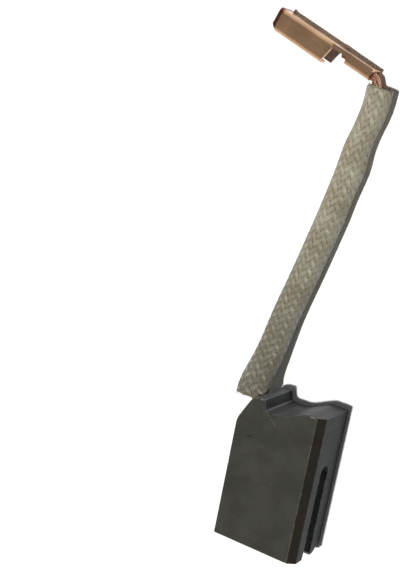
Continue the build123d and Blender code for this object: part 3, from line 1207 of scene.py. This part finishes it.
def add_frayed_ends(skin, form, generator):
    """Loose filaments at both cut ends of the sleeve."""
    turns = np.linspace(0, 2 * np.pi, 4)[:-1]
    steps = np.linspace(0, 1, 7)
    for end, count in enumerate(FRAYED_COUNTS):
        for _ in range(count):
            angle = generator.uniform(0, 2 * math.pi)
            reach = generator.uniform(0.0002, 0.0006)
            spread = generator.uniform(-0.0002, 0.0002)
            twist = generator.uniform(-0.35, 0.35)
            edge = float(form.end(angle) if end else form.start(angle))
            distances = edge + (steps * (reach + FRAY_ROOT) - FRAY_ROOT) * (1 if end else -1)
            inside = np.clip(distances, 0, form.line.length)
            places = form.places(inside, angle + twist * steps, -FRAY_DEPTH + spread * steps**2)
            _, level, up = form.line.frames(inside)
            places += np.cross(level, up) * -(distances - inside)[:, None]
            radius = generator.uniform(0.000010, 0.000022)
            blocked = shoulder_distance(places).min() < FRAY_SHOULDER_CLEARANCE + radius
            if end == 0 and blocked:
                continue
            to_side = np.cos(turns)[None, :, None] * level[:, None, :]
            to_top = np.sin(turns)[None, :, None] * up[:, None, :]
            thinning = (1.1 - steps)[:, None, None]
            rings = places[:, None, :] + radius * (to_side + to_top) * thinning
            if rings[..., 2].min() < FRAY_TABLE_CLEARANCE:
                continue
            tone = generator.random()
            # Painted glints on some of the filaments
            glint = 0.5 * generator.random()
            skin.add_tube(rings, tone=tone, crest=0.9, glint=glint, soil=soiling(rings))


def make_sleeve(settings):
    form = SleeveForm()
    length = form.line.length
    skin = Skin("tone", "crest", "glint", "soil")
    generator = random.Random(11)
    add_inner_layers(skin, form)
    add_braid(skin, form, generator, settings)
    add_frayed_ends(skin, form, generator)
    mesh = skin.to_mesh("braided_sleeve")
    sleeve = new_piece("braided_sleeve", mesh, [glass_yarn(settings)], "glass_braid", "insulating_sleeve")
    line_places = form.line.at(np.linspace(0, length, 180))
    return sleeve


# The terminal

# How far the brown band runs back from the mouth
MOUTH_BAND = 0.0007
# How far back from the mouth the lip is bent, and how much
LIP_REACH = 0.0005
LIP_BEND = 0.00011
# The mesh has cuts this far apart along the terminal, across it and up it
TERMINAL_GRID = (0.00025, 0.00025, 0.00035)
TERMINAL_WEAR_REACH = 0.00022
# The brushing's lines are this long and this wide
BRUSHED_LENGTH = 0.0030
BRUSHED_WIDTH = 0.00016


def bronze_sheet(name, colour, dark, roughness):
    """Rolled sheet, brushed along its length, browner at the mouth and brighter along its edges."""
    material, tree, shader = new_material(name, Metallic=1.0, Specular_IOR_Level=0.5)
    inputs = {
        "Vector": object_place(tree),
        "Rotation": (0, 0, math.pi - TERMINAL_TURN),
        "Scale": (BRUSHED_LENGTH, BRUSHED_WIDTH, BRUSHED_WIDTH),
    }
    turned = add_node(tree, "ShaderNodeMapping", inputs, vector_type="TEXTURE").outputs["Vector"]
    brushed = noise_value(tree, turned, 1, 3, 0.6)
    tarnished = mottled(tree, colour, dark, 380, 0.12)
    line = to_range(tree, brushed, 0.35, 0.65, 0, 0.2)
    lined = mix_colours(tree, line, tarnished, brighter(colour, 1.15))
    ragged = mottled(tree, (0, 0, 0), (1, 1, 1), 1500, 0.3)
    reach = maths(tree, "MULTIPLY", vertex_value(tree, "mouth"), maths(tree, "ADD", ragged, 1.2))
    browned = mix_colours(tree, to_range(tree, reach, 0.2, 0.8), lined, (0.17, 0.060, 0.034))
    worn = brighter(colour, 1.45)
    wear = {"Colour": browned, "Worn colour": worn, "Amount": 0.55, "Breaks per metre": 1800}
    tree.links.new(effect(tree, "edge_wear", wear).outputs["Colour"], shader.inputs["Base Color"])
    rough = to_range(tree, brushed, 0.3, 0.7, roughness - 0.04, roughness + 0.06)
    tree.links.new(rough, shader.inputs["Roughness"])
    set_bump(tree, shader, brushed, 0.0000015)
    return material


def terminal_lying():
    """From the terminal's own axes to the part's: X to the mouth, Y away from the spine, Z up."""
    across = Vector((0, 0, 1)).cross(TERMINAL_ALONG)
    turn = Matrix((TERMINAL_ALONG, across, Vector((0, 0, 1)))).transposed().to_4x4()
    return Matrix.Translation((0, 0, TERMINAL_HEIGHT)) @ turn


def dent_sheet(work, mouth_end, middle):
    """Dents the sheet a little and bends its lip. Returns each vertex's nearness to the mouth."""
    nearness = []
    for vertex in work.verts:
        place = vertex.co.copy()
        from_mouth = mouth_end - place.x
        nearness.append(max(0, 1 - from_mouth / MOUTH_BAND))
        dent = noise.noise(place / 0.0021) * 0.000022 + noise.noise(place / 0.0007) * 0.000006
        lip = max(0, 1 - from_mouth / LIP_REACH) * noise.noise(place / 0.0009) * LIP_BEND
        outward = Vector((0, place.y - middle, place.z)).normalized()
        vertex.co += outward * (dent + lip)
    return nearness


def faces_inward(face, to_terminal, middle):
    """True for a face that looks towards the middle of the folded sheet."""
    place = to_terminal @ face.calc_center_median()
    inward = Vector((0, middle - place.y, -place.z))
    normal = to_terminal.to_3x3() @ face.normal
    return normal.dot(inward) > 0.3 * inward.length and abs(normal.x) < 0.6


def make_terminal(settings):
    mesh, work, ridge_lines = copied_solid("terminal_sheet", "terminal", settings.edge_width)
    lying = terminal_lying()
    to_terminal = lying.inverted()
    work.transform(to_terminal)
    spans = [[vertex.co[axis] for vertex in work.verts] for axis in range(3)]
    low = Vector([min(span) for span in spans])
    high = Vector([max(span) for span in spans])
    for axis, step in enumerate(TERMINAL_GRID):
        cut_grid(work, axis, low[axis], high[axis], step)
    work.normal_update()
    places = [lying @ vertex.co for vertex in work.verts]
    nearness = edge_nearness(places, ridge_lines, TERMINAL_WEAR_REACH)
    middle = (low.y + high.y) / 2
    mouth = dent_sheet(work, high.x, middle)
    work.transform(lying)
    # The dents don't reach past the part's box
    for vertex in work.verts:
        for axis in range(3):
            vertex.co[axis] = min(solid_high[axis], max(solid_low[axis], vertex.co[axis]))
    work.normal_update()
    for face in work.faces:
        face.material_index = int(faces_inward(face, to_terminal, middle))
    work.to_mesh(mesh)
    work.free()
    store(mesh, "edge_wear", nearness)
    store(mesh, "mouth", mouth)
    mesh.shade_smooth()
    mesh.set_sharp_from_angle(angle=SHADING_ANGLE)
    outer = settings.colour
    inner = settings.inner_colour
    materials = [
        bronze_sheet("bronze_sheet", outer, brighter(outer, 0.78), 0.17),
        # Painted shade: the faces inside the fold get the darker, redder inner colour
        bronze_sheet("inner_bronze_painted_shade", inner, brighter(inner, 0.6), 0.36),
    ]
    terminal = new_piece("terminal_sheet", mesh, materials, "terminal_sheet", "terminal")
    even_shading(terminal)
    return terminal


# The stage

SENSOR_WIDTH = 36
FLOOR_HALF = 1.5
FLOOR_DROP = 0.00002
# The floor's colour as it is seen. As a light it has the colour of the settings.
FLOOR_SEEN = (1.18, 1.18, 1.18)


def seen_ray(tree):
    """1 where the camera sees the place, directly, mirrored or through something."""
    path = tree.nodes.new("ShaderNodeLightPath")
    seen = path.outputs["Is Camera Ray"]
    for kind in ("Is Glossy Ray", "Is Transmission Ray"):
        seen = maths(tree, "MAXIMUM", seen, path.outputs[kind])
    return seen


def make_stage(settings):
    scene = bpy.context.scene
    scene.view_settings.view_transform = "Standard"

    back = Vector(settings.camera_back).normalized()
    right = Vector(settings.camera_up).cross(back).normalized()
    up = back.cross(right)
    camera = bpy.data.objects.new("camera", bpy.data.cameras.new("camera"))
    scene.collection.objects.link(camera)
    turn = Matrix((right, up, back)).transposed()
    camera.matrix_world = Matrix.Translation(settings.camera_place) @ turn.to_4x4()
    camera.data.lens = settings.lens
    camera.data.sensor_width = SENSOR_WIDTH
    camera.data.clip_start = 0.01
    camera.data.clip_end = 20
    scene.camera = camera

    # The key lamp stands overhead, a little to the camera's lower left
    key = bpy.data.objects.new("key_lamp", bpy.data.lights.new("key_lamp", "SUN"))
    scene.collection.objects.link(key)
    key.data.energy = settings.key_strength
    key.data.angle = settings.key_angle
    # The metal doesn't mirror the lamp
    key.visible_glossy = False
    key.rotation_mode = "QUATERNION"
    key.rotation_quaternion = Vector(settings.key_towards).to_track_quat("Z", "Y")

    # The room is seen white low down and greyer overhead, and is dim as a light
    world = bpy.data.worlds.new("room")
    scene.world = world
    world.use_nodes = True
    tree = world.node_tree
    background = tree.nodes["Background"]
    direction = add_node(tree, "ShaderNodeTexCoord").outputs["Generated"]
    height = add_node(tree, "ShaderNodeSeparateXYZ", {"Vector": direction}).outputs["Z"]
    brightness = to_range(tree, height, 0.40, 0.95, 1.0, 0.36)
    inputs = {0: seen_ray(tree), 2: settings.room_light, 3: brightness}
    strength = add_node(tree, "ShaderNodeMix", inputs).outputs[0]
    background.inputs["Color"].default_value = (1, 1, 1, 1)
    tree.links.new(strength, background.inputs["Strength"])

    mesh = bpy.data.meshes.new("floor")
    corners = ((-1, -1), (1, -1), (1, 1), (-1, 1))
    places = [(x * FLOOR_HALF, y * FLOOR_HALF, -FLOOR_DROP) for x, y in corners]
    mesh.from_pydata(places, [], [(0, 1, 2, 3)])
    floor = bpy.data.objects.new("floor", mesh)
    scene.collection.objects.link(floor)
    material, tree, shader = new_material("floor", Roughness=1.0, Specular_IOR_Level=0.0)
    colour = mix_colours(tree, seen_ray(tree), (settings.floor_colour,) * 3, FLOOR_SEEN)
    tree.links.new(colour, shader.inputs["Base Color"])
    mesh.materials.append(material)


# The add-on

class BrushStage(Operator):
    """Makes the camera, the lamp, the room and the floor"""

    bl_idname = "brush.stage"
    bl_label = "Stage"

    def execute(self, context):
        make_stage(context.scene.brush.stage)
        return {"FINISHED"}


class BrushBlock(Operator):
    """Makes the graphite block with its ground ridges, worn edges and chips"""

    bl_idname = "brush.block"
    bl_label = "Graphite block"

    def execute(self, context):
        make_block(context.scene.brush.block)
        return {"FINISHED"}


class BrushPlug(Operator):
    """Gives the rammed copper powder its finish"""

    bl_idname = "brush.plug"
    bl_label = "Copper powder"

    def execute(self, context):
        dress_plug(context.scene.brush.wire)
        return {"FINISHED"}


class BrushTerminal(Operator):
    """Makes the folded terminal"""

    bl_idname = "brush.terminal"
    bl_label = "Terminal"

    def execute(self, context):
        make_terminal(context.scene.brush.terminal)
        return {"FINISHED"}


class BrushWire(Operator):
    """Makes the stranded wire"""

    bl_idname = "brush.wire"
    bl_label = "Copper strands"

    def execute(self, context):
        make_wire(context.scene.brush.wire)
        return {"FINISHED"}


class BrushSleeve(Operator):
    """Makes the braided sleeve"""

    bl_idname = "brush.sleeve"
    bl_label = "Braided sleeve"

    def execute(self, context):
        make_sleeve(context.scene.brush.sleeve)
        return {"FINISHED"}


OPERATORS = (BrushStage, BrushBlock, BrushPlug, BrushTerminal, BrushWire, BrushSleeve)


class BrushPanel(Panel):
    """Lists the brush's pieces in the order in which they are made"""

    bl_idname = "VIEW3D_PT_brush"
    bl_label = "Carbon brush"
    bl_space_type = "VIEW_3D"
    bl_region_type = "UI"
    bl_category = "Brush"

    def draw(self, context):
        for operator in OPERATORS:
            self.layout.operator(operator.bl_idname)
        for part in ("block", "wire", "sleeve", "terminal", "stage"):
            box = self.layout.box()
            box.label(text=part.capitalize())
            settings = getattr(context.scene.brush, part)
            for name in settings.__annotations__:
                box.prop(settings, name)


CLASSES = (
    BlockSettings,
    WireSettings,
    SleeveSettings,
    TerminalSettings,
    StageSettings,
    BrushSettings,
    *OPERATORS,
    BrushPanel,
)


def register():
    for part in CLASSES:
        bpy.utils.register_class(part)
    bpy.types.Scene.brush = PointerProperty(type=BrushSettings)


def unregister():
    del bpy.types.Scene.brush
    for part in reversed(CLASSES):
        bpy.utils.unregister_class(part)


def main():
    register()
    for operator in OPERATORS:
        family, name = operator.bl_idname.split(".")
        getattr(getattr(bpy.ops, family), name)()


if __name__ == "__main__":
    main()
